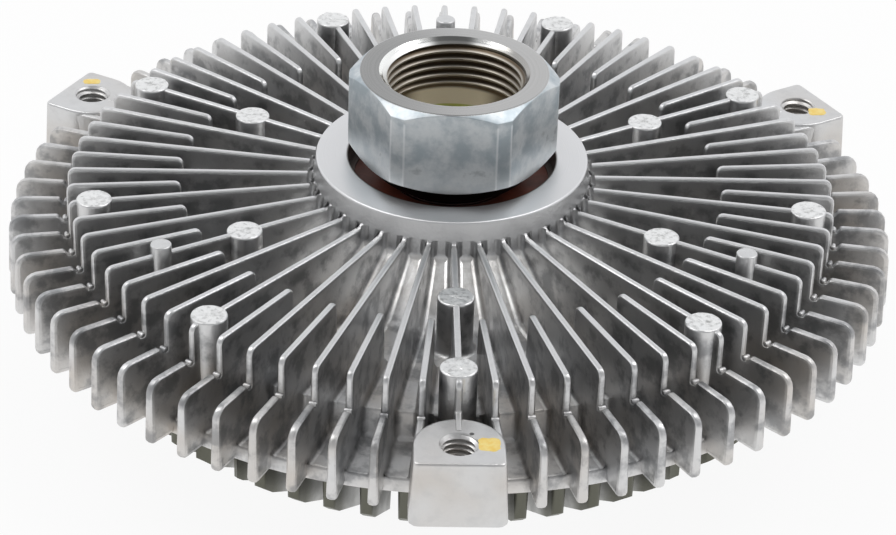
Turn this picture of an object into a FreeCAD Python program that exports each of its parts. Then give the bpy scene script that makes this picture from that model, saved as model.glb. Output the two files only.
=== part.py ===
import FreeCAD, Part
import os
import re
import Sketcher

# Viscous fan clutch, millimetres.
# The axis is Z. Z = 0 is the plane of the three ears' faces, where the fan bolts on.
# +Z points to the engine, with the hexagon drive nut on top, and -Z to the radiator.

SIZES = {
    # Ball bearing between shaft and housing
    "bearing_top": 5.4,
    "bearing_width": 11.0,
    "bearing_radius": 17.5,
    "shaft_radius": 7.5,
    "ball_radius": 2.9,
    "ball_circle": 12.5,
    "ball_count": 8,
    "raceway_play": 0.15,
    "inner_ring_radius": 10.1,
    "outer_ring_bore": 14.9,
    "seal_seat_radius": 16.6,
    "seal_seat_depth": 1.7,
    "seal_inset": 0.3,
    "seal_thickness": 1.2,
    "seal_lip_gap": 0.25,
    "cage_thickness": 1.5,
    "cage_height": 7.4,
    "cage_play": 0.15,
    # Hub ring and rear wall of the housing
    "ring_bore": 17.6,
    "ring_radius": 23.1,
    "ring_top": 9.3,
    "ring_edge": 0.3,
    "hub_foot_radius": 24.0,
    "hub_foot_height": 3.0,
    "cone_foot_radius": 34.8,
    "floor_height": -4.3,
    "step_radius": 59.4,
    "step_draft": 0.3,
    "flange_height": -9.3,
    "rim_radius": 70.3,
    "rim_draft": 0.4,
    "rim_bottom": -11.8,
    "chamber_radius": 56.0,
    "chamber_roof": -7.6,
    "shoulder_radius": 15.2,
    # Ring lands that shear the fluid
    "land_count": 4,
    "land_first_radius": 30.0,
    "land_pitch": 6.0,
    "land_width": 2.2,
    "land_length": 3.3,
    "land_gap": 0.7,
    # Housing fins
    "fin_count": 72,
    "long_fin_count": 36,
    "fin_top": 5.5,
    "fin_top_thickness": 1.1,
    "fin_root_thickness": 1.8,
    "fin_reach": 65.4,
    "fin_corner": 2.5,
    "short_fin_start": 46.0,
    "lower_fin_top": -0.35,
    "lower_fin_reach": 75.2,
    "lower_fin_corner": 3.7,
    "fin_overlap": 1.6,
    # Posts and pins cast on the rear wall
    "outer_post_count": 9,
    "outer_post_circle": 61.0,
    "outer_post_radius": 3.0,
    "outer_post_top": 5.66,
    "inner_post_count": 6,
    "inner_post_circle": 39.9,
    "inner_post_radius": 3.0,
    "inner_post_top": 5.5,
    "pin_count": 3,
    "pin_circle": 55.3,
    "pin_radius": 1.75,
    "pin_top": 7.2,
    # Ears that carry the fan
    "ear_count": 3,
    "ear_circle": 73.9,
    "ear_width": 14.3,
    "ear_reach": 79.4,
    "ear_depth": 11.4,
    "ear_draft": 2.6,
    "ear_hole_radius": 3.0,
    "ear_mouth_radius": 3.15,
    # Drive nut and shaft
    "hex_across": 32.0,
    "hex_turn": -3.0,
    "hex_corner_radius": 17.73,
    "hex_top": 25.4,
    "hex_bottom": 10.9,
    "hex_face_radius": 15.75,
    "hex_foot_radius": 16.0,
    "hex_chamfer_angle": 33.0,
    "thread_radius": 12.0,
    "mouth_radius": 12.7,
    "bore_bottom": 12.2,
    "neck_radius": 13.4,
    "neck_bottom": 7.6,
    "shaft_shoulder_radius": 9.6,
    "rotor_seat_radius": 6.5,
    "rivet_head_radius": 8.2,
    # Rotor
    "rotor_radius": 53.6,
    "rotor_thickness": 3.0,
    "rotor_gap": 1.0,
    "rotor_hub_radius": 9.6,
    "rotor_hole_count": 6,
    "rotor_hole_circle": 20.0,
    "rotor_hole_radius": 3.0,
    # Partition plate with its port, its return hole and its rivets
    "plate_thickness": 1.0,
    "plate_radius": 54.6,
    "port_circle": 33.0,
    "port_radius": 3.0,
    "return_circle": 48.5,
    "return_radius": 1.2,
    "rivet_count": 6,
    "rivet_circle": 52.4,
    "rivet_shank_radius": 1.1,
    "rivet_head_width": 1.8,
    "rivet_head_height": 0.45,
    "rivet_grip": 1.4,
    # Pump dam beside the return hole
    "dam_height": 0.6,
    "dam_width": 4.0,
    "dam_start": 43.0,
    "dam_length": 7.4,
    "dam_offset": 1.8,
    "dam_pin_radius": 0.8,
    "dam_pin_inset": 1.5,
    # Front cover
    "spigot_height": 2.0,
    "cover_radius": 66.5,
    "cover_flange_bottom": -14.2,
    "cover_neck_radius": 61.6,
    "cover_neck_drop": 0.2,
    "cover_side_radius": 57.4,
    "cover_side_bottom": -18.9,
    "cover_dish_radius": 30.0,
    "cover_dish_bottom": -25.0,
    "cover_wall": 2.8,
    "ledge_radius": 50.0,
    "reservoir_edge_depth": 0.9,
    "inner_boss_radius": 6.0,
    "arm_gap": 0.5,
    "boss_radius": 8.5,
    "boss_bottom": -27.6,
    "cover_fin_pairs": 30,
    "cover_fin_turn": -1.5,
    "cover_fin_thickness": 2.6,
    "cover_fin_draft": -1.4,
    "cover_fin_start": 25.5,
    "cover_short_fin_start": 45.0,
    "cover_fin_reach": 60.5,
    "cover_fin_edge": -23.9,
    "cover_fin_knee_radius": 57.2,
    "cover_fin_knee": -26.7,
    "foot_radius": 42.0,
    "foot_height": -35.0,
    # Ring seal between housing and cover
    "ring_seal_width": 1.4,
    "ring_seal_depth": 1.2,
    # Cover screws
    "screw_radius": 1.95,
    "screw_play": 0.05,
    "screw_clear_radius": 2.2,
    "screw_head_radius": 3.6,
    "screw_end": -3.0,
    "screw_hole_spare": 1.0,
    "screw_pocket_radius": 4.3,
    "drive_recess_radius": 1.5,
    "drive_recess_depth": 1.2,
    # Fill plug
    "plug_circle": 17.0,
    "plug_radius": 2.2,
    "plug_proud": 0.8,
    # Valve shaft, arm, seal and clip
    "valve_radius": 3.0,
    "valve_play": 0.05,
    "arm_thickness": 0.8,
    "arm_clearance": 0.4,
    "arm_seat_radius": 2.0,
    "arm_hub_radius": 5.0,
    "arm_pad_radius": 4.6,
    "arm_neck_width": 5.0,
    "valve_end": -34.4,
    "valve_seal_top": -22.4,
    "valve_seal_height": 1.8,
    "valve_seal_groove": 4.6,
    "clip_radius": 5.0,
    "clip_thickness": 0.6,
    "clip_gap": 0.2,
    "clip_seat_radius": 2.4,
    "clip_mouth": 3.4,
    # Bimetal coil and its post
    "coil_thickness": 1.0,
    "coil_top": -28.9,
    "coil_width": 5.2,
    "coil_start_radius": 5.2,
    "coil_pitch": 3.2,
    "coil_turns": 3,
    "coil_tail": 3.4,
    "slot_play": 0.05,
    "post_gap": 0.9,
    "post_length": 3.4,
    "post_width": 6.0,
    "post_spare": 0.4,
    "stop_radius": 1.5,
    "stop_circle": 20.0,
    "stop_gap": 0.3,
    "arm_swing": 40.0,
    # How far a cut reaches beyond what it takes away
    "cut_margin": 1.0,
}

doc = FreeCAD.newDocument("FanClutch")
sheet = doc.addObject("Spreadsheet::Sheet", "Sizes")
for row, (name, size) in enumerate(SIZES.items(), 1):
    sheet.set("A%d" % row, name)
    sheet.set("B%d" % row, str(size))
    sheet.setAlias("B%d" % row, name)
doc.recompute()


def linked(expression):
    """An expression on size names, with each name pointing into the sheet."""
    def point(word):
        return "Sizes." + word.group() if word.group() in SIZES else word.group()
    return re.sub(r"[a-z][a-z_]+", point, str(expression))


def value(expression):
    """The number that an expression on size names gives now."""
    result = sheet.evalExpression(str(expression))
    return float(getattr(result, "Value", result))


def count(name):
    return int(round(value(name)))


def bind(item, prop, expression):
    item.setExpression(prop, linked(expression))


# Sizes that several pieces share

BEARING_BOTTOM = "(bearing_top - bearing_width)"
BEARING_MIDDLE = "(bearing_top - bearing_width / 2)"
ROTOR_TOP = "(chamber_roof - land_length - land_gap)"
ROTOR_BOTTOM = "(%s - rotor_thickness)" % ROTOR_TOP
PLATE_TOP = "(%s - rotor_gap)" % ROTOR_BOTTOM
PLATE_BOTTOM = "(%s - plate_thickness)" % PLATE_TOP
ARM_TOP = "(%s - arm_clearance)" % PLATE_BOTTOM
ARM_BOTTOM = "(%s - arm_thickness)" % ARM_TOP
RESERVOIR_FLOOR = "(cover_dish_bottom + cover_wall)"
VALVE_BORE = "(valve_radius + valve_play)"
CLIP_TOP = "(boss_bottom - clip_gap)"
COIL_BOTTOM = "(coil_top - coil_width)"
COIL_END = "(coil_start_radius + coil_turns * coil_pitch)"


def new_body(label):
    body = doc.addObject("PartDesign::Body", label)
    body.Label = label
    return body


def origin(body, role):
    return [item for item in body.Origin.OriginFeatures if item.Role == role][0]


def new_sketch(body, name, plane, shift=None):
    """A sketch on one of the body's own planes, moved along that plane's normal by shift."""
    sketch = body.newObject("Sketcher::SketchObject", name)
    sketch.AttachmentSupport = (origin(body, plane), [""])
    sketch.MapMode = "FlatFace"
    if shift is not None:
        bind(sketch, "AttachmentOffset.Base.z", shift)
    return sketch


def fix(sketch, kind, geometry, end, expression):
    """Hold one end of one line or arc at a distance from the sketch's origin."""
    index = sketch.addConstraint(Sketcher.Constraint(kind, -1, 1, geometry, end, value(expression)))
    bind(sketch, "Constraints[%d]" % index, expression)


def outline(sketch, corners):
    """A closed outline through corners (x, y).

    A corner may add (centre_x, centre_y, turn, held): then the edge to the next corner is an arc
    about that centre, turn is "left" or "right", and held says which of x and y fixes the centre.
    """
    first = sketch.GeometryCount
    places = [FreeCAD.Vector(value(corner[0]), value(corner[1]), 0) for corner in corners]
    for index, corner in enumerate(corners):
        start, end = places[index], places[(index + 1) % len(places)]
        if len(corner) == 2:
            sketch.addGeometry(Part.LineSegment(start, end))
            continue
        centre = FreeCAD.Vector(value(corner[2]), value(corner[3]), 0)
        turn = 1 if corner[4] == "left" else -1
        circle = Part.Circle(centre, FreeCAD.Vector(0, 0, turn), (start - centre).Length)
        arc = Part.ArcOfCircle(circle, circle.parameter(start), circle.parameter(end))
        sketch.addGeometry(arc)
        if corner[5] == "x":
            fix(sketch, "DistanceX", first + index, 3, corner[2])
        else:
            fix(sketch, "DistanceY", first + index, 3, corner[3])
    ends = []
    for index, corner in enumerate(corners):
        # An arc that turns right is stored the other way round, so its start is its end 2.
        right = len(corner) > 2 and corner[4] == "right"
        ends.append((2, 1) if right else (1, 2))
    for index, corner in enumerate(corners):
        after = (index + 1) % len(corners)
        sketch.addConstraint(
            Sketcher.Constraint("Coincident", first + index, ends[index][1], first + after, ends[after][0]))
        fix(sketch, "DistanceX", first + index, ends[index][0], corner[0])
        fix(sketch, "DistanceY", first + index, ends[index][0], corner[1])


def ring(sketch, x, y, radius):
    """A full circle."""
    place = FreeCAD.Vector(value(x), value(y), 0)
    index = sketch.addGeometry(Part.Circle(place, FreeCAD.Vector(0, 0, 1), value(radius)))
    fix(sketch, "DistanceX", index, 3, x)
    fix(sketch, "DistanceY", index, 3, y)
    held = sketch.addConstraint(Sketcher.Constraint("Radius", index, value(radius)))
    bind(sketch, "Constraints[%d]" % held, radius)


def feature(body, kind, name, sketch):
    item = body.newObject("PartDesign::" + kind, name)
    item.Profile = sketch
    sketch.Visibility = False
    body.Tip = item
    return item


def revolve(body, name, corners, kind="Revolution", away=None):
    """Turn an outline of (radius, height) corners to add or, as a Groove, to cut.

    It turns about Z, or about an upright axis that stands at -Y, as far away as given.
    """
    sketch = new_sketch(body, name + "_section", "XZ_Plane", away)
    outline(sketch, corners)
    item = feature(body, kind, name, sketch)
    item.ReferenceAxis = (origin(body, "Z_Axis"), [""]) if away is None else (sketch, ["V_Axis"])
    item.Angle = 360
    return item


def pad(body, name, sketch, length, upward=True):
    item = feature(body, "Pad", name, sketch)
    bind(item, "Length", length)
    item.Reversed = not upward
    return item


def pocket(body, name, sketch, length, forward=False):
    """Cut away from the sketch, against its normal, or along it if forward."""
    item = feature(body, "Pocket", name, sketch)
    bind(item, "Length", length)
    item.Reversed = forward
    return item


def repeat(body, name, items, number):
    """Turn copies of the items about Z, evenly."""
    item = body.newObject("PartDesign::PolarPattern", name)
    item.Originals = items
    item.Axis = (origin(body, "Z_Axis"), [""])
    item.Angle = 360
    bind(item, "Occurrences", number)
    body.Tip = item
    return item


def disc(body, name, x, y, radius, bottom, top):
    """A round boss from one height to another."""
    sketch = new_sketch(body, name + "_outline", "XY_Plane", bottom)
    ring(sketch, x, y, radius)
    return pad(body, name, sketch, "%s - (%s)" % (top, bottom))


def hole(body, name, x, y, radius, top, bottom):
    """A round hole from one height down to another."""
    sketch = new_sketch(body, name + "_outline", "XY_Plane", top)
    ring(sketch, x, y, radius)
    return pocket(body, name, sketch, "%s - (%s)" % (top, bottom))


def block(x_low, x_high, y_low, y_high):
    return [(x_low, y_low), (x_high, y_low), (x_high, y_high), (x_low, y_high)]


def lands_down(first, tip, base):
    """Corners of the ring lands, from the outermost inwards, with their tips at one height."""
    corners = []
    for index in reversed(range(count("land_count"))):
        inner = "%s + %d * land_pitch" % (first, index)
        outer = "%s + land_width" % inner
        corners += [(outer, base), (outer, tip), (inner, tip), (inner, base)]
    return corners


def primitive(body, kind, name, x, y, z, **sizes):
    """A cone, sphere or prism that adds or cuts, set at a point of the body's own frame."""
    item = body.newObject("PartDesign::" + kind, name)
    item.AttachmentSupport = (origin(body, "XY_Plane"), [""])
    item.MapMode = "FlatFace"
    for axis, place in zip("xyz", (x, y, z)):
        bind(item, "AttachmentOffset.Base." + axis, place)
    for size, expression in sizes.items():
        bind(item, size, expression)
    body.Tip = item
    return item


def half_thickness(height, tip, root, tip_height, root_height):
    """Half the thickness of a drafted fin at one height."""
    return "(%s + (%s - %s) * (%s - (%s)) / (%s - (%s))) / 2" % (
        root, tip, root, height, root_height, tip_height, root_height)


def fin(body, name, start, end, low, high, half):
    """A fin along X from one radius to another, between two heights, thinner towards its tip."""
    sketch = new_sketch(body, name + "_section", "YZ_Plane", start)
    outline(sketch, [("-" + half(low), low), (half(low), low), (half(high), high), ("-" + half(high), high)])
    return pad(body, name, sketch, "%s - (%s)" % (end, start))


def trim_fin(body, name, corners, width):
    """Cut a fin on X with an outline of (radius, height) corners, across the given width."""
    sketch = new_sketch(body, name + "_outline", "XZ_Plane", "%s / 2" % width)
    outline(sketch, corners)
    return pocket(body, name, sketch, width)


def corner_cut(reach, top, corner):
    """What a rounded outer corner of a fin takes away."""
    inner = "%s - %s" % (reach, corner)
    lower = "%s - %s" % (top, corner)
    outside = "%s + cut_margin" % reach
    above = "%s + cut_margin" % top
    return [(inner, above), (outside, above), (outside, lower),
            (reach, lower, inner, lower, "left", "x"), (inner, top)]


def make_housing():
    body = new_body("housing_body")
    lands = lands_down("land_first_radius", "chamber_roof - land_length", "chamber_roof")
    revolve(body, "wall", [
        ("ring_bore", "ring_top - ring_edge"), ("ring_bore + ring_edge", "ring_top"),
        ("ring_radius - ring_edge", "ring_top"), ("ring_radius", "ring_top - ring_edge"),
        ("hub_foot_radius", "hub_foot_height"), ("cone_foot_radius", "floor_height"),
        ("step_radius", "floor_height"), ("step_radius + step_draft", "flange_height"),
        ("rim_radius", "flange_height"), ("rim_radius + rim_draft", "rim_bottom"),
        ("chamber_radius", "rim_bottom"), ("chamber_radius", "chamber_roof")] + lands + [
        ("shoulder_radius", "chamber_roof"), ("shoulder_radius", BEARING_BOTTOM),
        ("bearing_radius", BEARING_BOTTOM), ("bearing_radius", "bearing_top"),
        ("ring_bore", "bearing_top")])

    def half(height):
        return half_thickness(height, "fin_top_thickness", "fin_root_thickness", "fin_top", "rim_bottom")

    foot = "(floor_height - fin_overlap)"
    inner = disc(body, "inner_post", "0", "-inner_post_circle", "inner_post_radius", foot, "inner_post_top")
    repeat(body, "inner_posts", [inner], "inner_post_count")
    pin = disc(body, "pin", "0", "pin_circle", "pin_radius", foot, "pin_top")
    repeat(body, "pins", [pin], "pin_count")

    inner = fin(body, "long_fin", "hub_foot_radius - fin_overlap", "short_fin_start + fin_overlap",
                foot, "fin_top", half)
    repeat(body, "long_fins", [inner], "long_fin_count")
    upper = fin(body, "upper_fin", "short_fin_start", "fin_reach", foot, "fin_top", half)
    lower = fin(body, "lower_fin", "step_radius - fin_overlap", "lower_fin_reach",
                "rim_bottom", "lower_fin_top", half)
    repeat(body, "fins", [upper, lower], "fin_count")
    width = "(fin_root_thickness + cut_margin)"
    upper_cut = trim_fin(body, "upper_corner", corner_cut("fin_reach", "fin_top", "fin_corner"), width)
    lower_cut = trim_fin(body, "lower_corner",
                         corner_cut("lower_fin_reach", "lower_fin_top", "lower_fin_corner"), width)
    repeat(body, "rounded_corners", [upper_cut, lower_cut], "fin_count")

    outer = disc(body, "outer_post", "0", "-outer_post_circle", "outer_post_radius",
                 "flange_height - fin_overlap", "outer_post_top")
    repeat(body, "outer_posts", [outer], "outer_post_count")
    half_width = "ear_width / 2"
    sketch = new_sketch(body, "ear_outline", "XY_Plane")
    outline(sketch, [
        ("-" + half_width, "-ear_reach"), (half_width, "-ear_reach"),
        (half_width, "-ear_circle", "0", "-ear_circle", "left", "y"), ("-" + half_width, "-ear_circle")])
    ear = pad(body, "ear", sketch, "ear_depth", upward=False)
    bind(ear, "TaperAngle", "ear_draft")
    repeat(body, "ears", [ear], "ear_count")

    tapped = revolve(body, "ear_hole", [
        ("0", "0"), ("0", "rim_bottom"), ("ear_hole_radius", "rim_bottom"),
        ("ear_hole_radius", "ear_hole_radius - ear_mouth_radius"), ("ear_mouth_radius", "0")],
        "Groove", "ear_circle")
    repeat(body, "ear_holes", [tapped], "ear_count")
    sketch = new_sketch(body, "screw_hole_outline", "XY_Plane", "rim_bottom")
    ring(sketch, "0", "-outer_post_circle", "screw_radius + screw_play")
    screw_hole = pocket(body, "screw_hole", sketch, "screw_end + screw_hole_spare - rim_bottom", forward=True)
    repeat(body, "screw_holes", [screw_hole], "outer_post_count")
    return body


def make_drive_hub():
    body = new_body("drive_hub")
    sketch = new_sketch(body, "hexagon", "XY_Plane", "hex_bottom")
    corner_radius = "hex_across / 2 / cos(30 deg)"
    turns = ["(hex_turn + %d) * 1 deg" % angle for angle in range(0, 360, 60)]
    outline(sketch, [("%s * cos(%s)" % (corner_radius, turn), "%s * sin(%s)" % (corner_radius, turn))
                     for turn in turns])
    pad(body, "hexagon_bar", sketch, "hex_top - hex_bottom")
    outside = "hex_corner_radius + cut_margin"
    slope = "tan(hex_chamfer_angle * 1 deg)"
    revolve(body, "turned_corners", [
        ("hex_face_radius", "hex_top"),
        ("hex_corner_radius", "hex_top - (hex_corner_radius - hex_face_radius) * %s" % slope),
        ("hex_corner_radius", "hex_bottom + (hex_corner_radius - hex_foot_radius) * %s" % slope),
        ("hex_foot_radius", "hex_bottom"), (outside, "hex_bottom"), (outside, "hex_top")], "Groove")
    revolve(body, "shaft", [
        ("0", "hex_bottom"), ("0", ROTOR_BOTTOM), ("rivet_head_radius", ROTOR_BOTTOM),
        ("rotor_seat_radius", "%s + rivet_head_radius - rotor_seat_radius" % ROTOR_BOTTOM),
        ("rotor_seat_radius", BEARING_BOTTOM), ("shaft_radius", BEARING_BOTTOM),
        ("shaft_radius", "bearing_top"), ("shaft_shoulder_radius", "bearing_top"),
        ("shaft_shoulder_radius", "neck_bottom"), ("neck_radius", "neck_bottom"),
        ("neck_radius", "hex_bottom")])
    revolve(body, "nut_bore", [
        ("0", "bore_bottom"), ("thread_radius", "bore_bottom"),
        ("thread_radius", "hex_top - (mouth_radius - thread_radius)"), ("mouth_radius", "hex_top"),
        ("0", "hex_top")], "Groove")
    return body


def make_bearing():
    track = "ball_radius + raceway_play"

    def half_height(radius):
        return "sqrt((%s) ^ 2 - (%s - ball_circle) ^ 2)" % (track, radius)

    outer = new_body("bearing_outer_ring")
    edge = half_height("outer_ring_bore")
    seat_top = "bearing_top - seal_seat_depth"
    seat_bottom = "%s + seal_seat_depth" % BEARING_BOTTOM
    revolve(outer, "ring", [
        ("bearing_radius", BEARING_BOTTOM), ("bearing_radius", "bearing_top"),
        ("seal_seat_radius", "bearing_top"), ("seal_seat_radius", seat_top), ("outer_ring_bore", seat_top),
        ("outer_ring_bore", "%s + %s" % (BEARING_MIDDLE, edge),
         "ball_circle", BEARING_MIDDLE, "right", "x"),
        ("outer_ring_bore", "%s - %s" % (BEARING_MIDDLE, edge)),
        ("outer_ring_bore", seat_bottom), ("seal_seat_radius", seat_bottom),
        ("seal_seat_radius", BEARING_BOTTOM)])

    inner = new_body("bearing_inner_ring")
    edge = half_height("inner_ring_radius")
    revolve(inner, "ring", [
        ("shaft_radius", "bearing_top"), ("shaft_radius", BEARING_BOTTOM),
        ("inner_ring_radius", BEARING_BOTTOM),
        ("inner_ring_radius", "%s - %s" % (BEARING_MIDDLE, edge),
         "ball_circle", BEARING_MIDDLE, "right", "x"),
        ("inner_ring_radius", "%s + %s" % (BEARING_MIDDLE, edge)),
        ("inner_ring_radius", "bearing_top")])

    balls = new_body("bearing_balls")
    ball = primitive(balls, "AdditiveSphere", "ball", "ball_circle", "0", BEARING_MIDDLE,
                     Radius="ball_radius")
    repeat(balls, "ball_set", [ball], "ball_count")

    cage = new_body("bearing_cage")
    revolve(cage, "ring", block(
        "ball_circle - cage_thickness / 2", "ball_circle + cage_thickness / 2",
        "%s - cage_height / 2" % BEARING_MIDDLE, "%s + cage_height / 2" % BEARING_MIDDLE))
    sketch = new_sketch(cage, "ball_pocket_outline", "YZ_Plane", "ball_circle + cage_thickness")
    ring(sketch, "0", BEARING_MIDDLE, "ball_radius + cage_play")
    opening = pocket(cage, "ball_pocket", sketch, "2 * cage_thickness")
    repeat(cage, "ball_pockets", [opening], "ball_count")

    seals = []
    faces = (("bearing_seal_upper", "bearing_top", "-"), ("bearing_seal_lower", BEARING_BOTTOM, "+"))
    for label, face, inward in faces:
        seal = new_body(label)
        near = "%s %s seal_inset" % (face, inward)
        far = "%s %s seal_thickness" % (near, inward)
        revolve(seal, "disc", block("inner_ring_radius + seal_lip_gap", "seal_seat_radius", near, far))
        seals.append(seal)
    return [outer, inner, balls, cage] + seals


def make_rotor():
    body = new_body("rotor_disc")
    lands = lands_down("land_first_radius + land_pitch / 2", "chamber_roof - land_gap", ROTOR_TOP)
    revolve(body, "disc", [
        ("rotor_seat_radius", BEARING_BOTTOM),
        ("rotor_seat_radius", "%s + rivet_head_radius - rotor_seat_radius" % ROTOR_BOTTOM),
        ("rivet_head_radius", ROTOR_BOTTOM), ("rotor_radius", ROTOR_BOTTOM), ("rotor_radius", ROTOR_TOP)]
        + lands + [("rotor_hub_radius", ROTOR_TOP), ("rotor_hub_radius", BEARING_BOTTOM)])
    opening = hole(body, "flow_hole", "rotor_hole_circle", "0", "rotor_hole_radius",
                   ROTOR_TOP, ROTOR_BOTTOM)
    repeat(body, "flow_holes", [opening], "rotor_hole_count")
    return body


def make_partition():
    """The plate between reservoir and working chamber, its rivets and the pump dam on it."""
    plate = new_body("partition_plate")
    disc(plate, "sheet", "0", "0", "plate_radius", PLATE_BOTTOM, PLATE_TOP)
    hole(plate, "port", "port_circle", "0", "port_radius", PLATE_TOP, PLATE_BOTTOM)
    hole(plate, "return_hole", "0", "return_circle", "return_radius", PLATE_TOP, PLATE_BOTTOM)
    pin_places = ["dam_start + dam_pin_inset", "dam_start + dam_length - dam_pin_inset"]
    middle = "-dam_offset - dam_width / 2"
    for index, place in enumerate(pin_places):
        hole(plate, "dam_hole_%d" % index, middle, place, "dam_pin_radius", PLATE_TOP, PLATE_BOTTOM)
    rivet_hole = hole(plate, "rivet_hole", "rivet_circle", "0", "rivet_shank_radius",
                      PLATE_TOP, PLATE_BOTTOM)
    repeat(plate, "rivet_holes", [rivet_hole], "rivet_count")

    rivets = new_body("partition_rivets")
    shank = disc(rivets, "shank", "rivet_circle", "0", "rivet_shank_radius",
                 "%s - rivet_grip" % PLATE_BOTTOM, PLATE_TOP)
    head = disc(rivets, "head", "rivet_circle", "0", "rivet_head_width", PLATE_TOP,
                "%s + rivet_head_height" % PLATE_TOP)
    repeat(rivets, "rivets", [shank, head], "rivet_count")

    dam = new_body("pump_dam")
    sketch = new_sketch(dam, "dam_outline", "XY_Plane", PLATE_TOP)
    outline(sketch, block("-dam_offset - dam_width", "-dam_offset", "dam_start", "dam_start + dam_length"))
    pad(dam, "dam", sketch, "dam_height")
    for index, place in enumerate(pin_places):
        disc(dam, "dam_pin_%d" % index, middle, place, "dam_pin_radius", PLATE_BOTTOM, PLATE_TOP)
    return [plate, rivets, dam]


def hanging_fin(body, name, start, turn, top):
    """A drafted fin of the cover, turned about Z, with a round outer end and its foot at the bottom."""
    half = "cover_fin_thickness / 2"
    along, across = "cos((%s) * 1 deg)" % turn, "sin((%s) * 1 deg)" % turn

    def corner(radius, side):
        return ("(%s) * %s - (%s) * %s" % (radius, along, side, across),
                "(%s) * %s + (%s) * %s" % (radius, across, side, along))

    end = "cover_fin_reach - " + half
    sketch = new_sketch(body, name + "_outline", "XY_Plane", top)
    outline(sketch, [
        corner(start, "-" + half), corner(end, "-" + half) + corner(end, "0") + ("left", "x"),
        corner(end, half), corner(start, half)])
    item = pad(body, name, sketch, "%s - (foot_height)" % top, upward=False)
    bind(item, "TaperAngle", "cover_fin_draft")
    return item


def make_cover():
    body = new_body("front_cover")
    groove_edge = "chamber_radius + ring_seal_width"
    groove_bottom = "rim_bottom - ring_seal_depth"
    revolve(body, "wall", [
        ("0", "rim_bottom + spigot_height"), ("0", "boss_bottom"), ("boss_radius", "boss_bottom"),
        ("boss_radius", "cover_dish_bottom"), ("cover_dish_radius", "cover_dish_bottom"),
        ("cover_side_radius", "cover_side_bottom"),
        ("cover_neck_radius", "cover_flange_bottom - cover_neck_drop"),
        ("cover_radius", "cover_flange_bottom"), ("cover_radius", "rim_bottom"),
        (groove_edge, "rim_bottom"), (groove_edge, groove_bottom), ("chamber_radius", groove_bottom),
        ("chamber_radius", "rim_bottom + spigot_height")])

    near = "-(%s + coil_thickness / 2 + post_gap)" % COIL_END
    far = "%s - post_length" % near
    gap = "(coil_thickness / 2 + slot_play)"
    sketch = new_sketch(body, "coil_post_outline", "XY_Plane", "cover_dish_bottom")
    outline(sketch, block(far, near, "-post_width / 2", "-" + gap))
    outline(sketch, block(far, near, gap, "post_width / 2"))
    pad(body, "coil_post", sketch, "cover_dish_bottom - (%s) + post_spare" % COIL_BOTTOM, upward=False)

    long_fin = hanging_fin(body, "long_fin", "cover_fin_start", "cover_fin_turn", groove_bottom)
    short_fin = hanging_fin(body, "short_fin", "cover_short_fin_start",
                            "cover_fin_turn + 180 / cover_fin_pairs", groove_bottom)
    repeat(body, "fins", [long_fin, short_fin], "cover_fin_pairs")
    outside = "cover_fin_reach + cut_margin"
    below = "foot_height - cut_margin"
    revolve(body, "sloped_tips", [
        ("foot_radius", below), (outside, below), (outside, "cover_fin_edge"),
        ("cover_fin_reach", "cover_fin_edge"), ("cover_fin_knee_radius", "cover_fin_knee"),
        ("foot_radius", "foot_height")], "Groove")

    seal_bottom = "valve_seal_top - valve_seal_height"
    revolve(body, "reservoir", [
        ("0", "rim_bottom + spigot_height"), ("plate_radius", "rim_bottom + spigot_height"),
        ("plate_radius", PLATE_BOTTOM), ("ledge_radius", PLATE_BOTTOM),
        ("ledge_radius", "%s - reservoir_edge_depth" % PLATE_BOTTOM),
        ("cover_dish_radius", RESERVOIR_FLOOR), ("inner_boss_radius", RESERVOIR_FLOOR),
        ("inner_boss_radius", "%s - arm_gap" % ARM_BOTTOM), (VALVE_BORE, "%s - arm_gap" % ARM_BOTTOM),
        (VALVE_BORE, "valve_seal_top"), ("valve_seal_groove", "valve_seal_top"),
        ("valve_seal_groove", seal_bottom), (VALVE_BORE, seal_bottom), (VALVE_BORE, "boss_bottom"),
        ("0", "boss_bottom")], "Groove")

    angle = "asin((arm_neck_width / 2 + stop_radius + stop_gap) / stop_circle)"
    sketch = new_sketch(body, "arm_stops_outline", "XY_Plane", "%s - cover_wall / 2" % RESERVOIR_FLOOR)
    for turn in ("(-%s)" % angle, "(arm_swing * 1 deg + %s)" % angle):
        ring(sketch, "stop_circle * cos(%s)" % turn, "stop_circle * sin(%s)" % turn, "stop_radius")
    pad(body, "arm_stops", sketch, "%s - %s + cover_wall / 2" % (ARM_TOP, RESERVOIR_FLOOR))

    hole(body, "fill_hole", "0", "-plug_circle", "plug_radius", RESERVOIR_FLOOR, "cover_dish_bottom")
    rivet_hole = hole(body, "rivet_hole", "rivet_circle", "0", "rivet_shank_radius", PLATE_BOTTOM,
                      "%s - rivet_grip" % PLATE_BOTTOM)
    repeat(body, "rivet_holes", [rivet_hole], "rivet_count")
    seat = revolve(body, "screw_seat", [
        ("0", "rim_bottom"), ("0", "foot_height"), ("screw_pocket_radius", "foot_height"),
        ("screw_pocket_radius", "cover_flange_bottom"), ("screw_head_radius", "cover_flange_bottom"),
        ("screw_clear_radius", "cover_flange_bottom + screw_head_radius - screw_clear_radius"),
        ("screw_clear_radius", "rim_bottom")], "Groove", "outer_post_circle")
    repeat(body, "screw_seats", [seat], "outer_post_count")
    return body


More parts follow.
